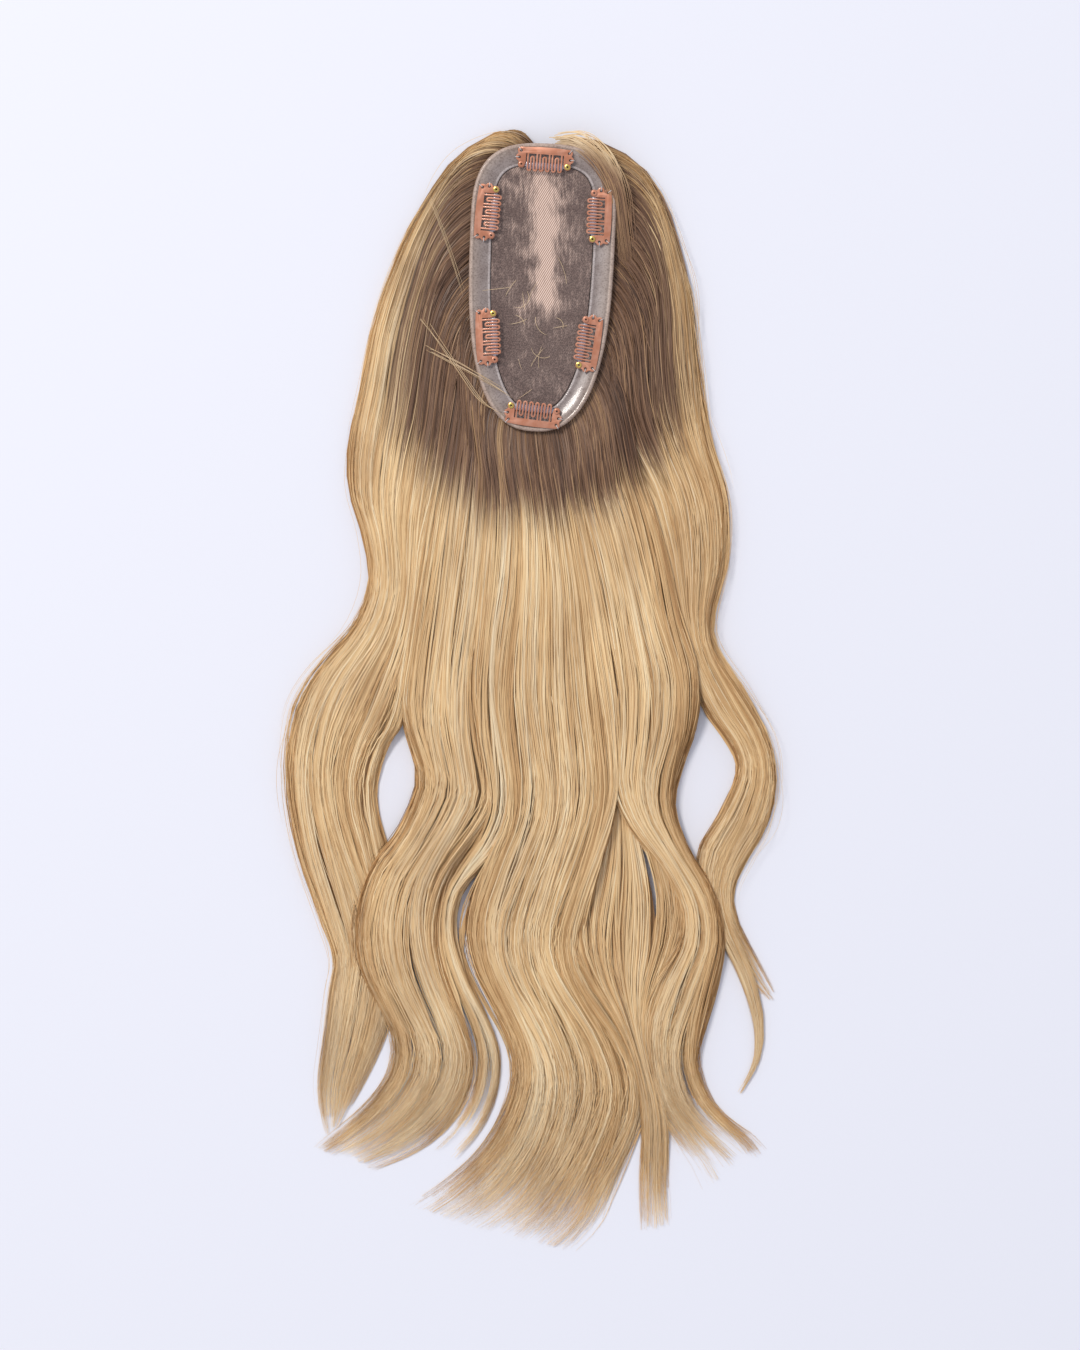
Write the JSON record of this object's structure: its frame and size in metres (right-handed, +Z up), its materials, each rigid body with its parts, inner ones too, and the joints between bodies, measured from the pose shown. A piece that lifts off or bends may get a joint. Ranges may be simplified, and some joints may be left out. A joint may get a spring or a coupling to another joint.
{
  "type": "hair topper",
  "caption": "Long wavy hair topper lying scalp side up: mesh panel in a clear skin rim with sewn-on snap comb clips, hair fanning out beneath.",
  "frame": {"origin": "middle of the hair's plan, on the surface that it lies on", "axes": "+Y from the hair's ends to the front of the base, +X to the picture's right, +Z up out of the scalp side"},
  "size_m": [0.239, 0.546, 0.0136],
  "materials": {
    "hair": "satin wavy hair, dark roots to golden blonde",
    "skin_rim": "glossy translucent skin film",
    "mesh_panel": "fine silk mesh, sheer",
    "clip_enamel": "satin tan enamel",
    "clip_bar": "plain",
    "brass_eyelet": "polished",
    "silicone_grip": "clear glossy silicone"
  },
  "bodies": {
    "root": {"base_panel": "mesh_panel", "base_rim": "skin_rim", "clip_back_bar": "clip_bar", "clip_back_eyelet_brass": "brass_eyelet", "clip_back_eyelet_painted": "clip_enamel", "clip_back_grip": "silicone_grip", "clip_back_plate": "clip_enamel", "clip_front_bar": "clip_bar", "clip_front_eyelet_brass": "brass_eyelet", "clip_front_eyelet_painted": "clip_enamel", "clip_front_grip": "silicone_grip", "clip_front_plate": "clip_enamel", "clip_left_back_bar": "clip_bar", "clip_left_back_eyelet_brass": "brass_eyelet", "clip_left_back_eyelet_painted": "clip_enamel", "clip_left_back_grip": "silicone_grip", "clip_left_back_plate": "clip_enamel", "clip_left_front_bar": "clip_bar", "clip_left_front_eyelet_brass": "brass_eyelet", "clip_left_front_eyelet_painted": "clip_enamel", "clip_left_front_grip": "silicone_grip", "clip_left_front_plate": "clip_enamel", "clip_right_back_bar": "clip_bar", "clip_right_back_eyelet_brass": "brass_eyelet", "clip_right_back_eyelet_painted": "clip_enamel", "clip_right_back_grip": "silicone_grip", "clip_right_back_plate": "clip_enamel", "clip_right_front_bar": "clip_bar", "clip_right_front_eyelet_brass": "brass_eyelet", "clip_right_front_eyelet_painted": "clip_enamel", "clip_right_front_grip": "silicone_grip", "clip_right_front_plate": "clip_enamel", "hair_centre": "hair", "hair_inner_left": "hair", "hair_inner_right": "hair", "hair_outer_left": "hair", "hair_outer_right": "hair", "hair_right": "hair", "hair_slim_left": "hair"}
  },
  "joints": []
}
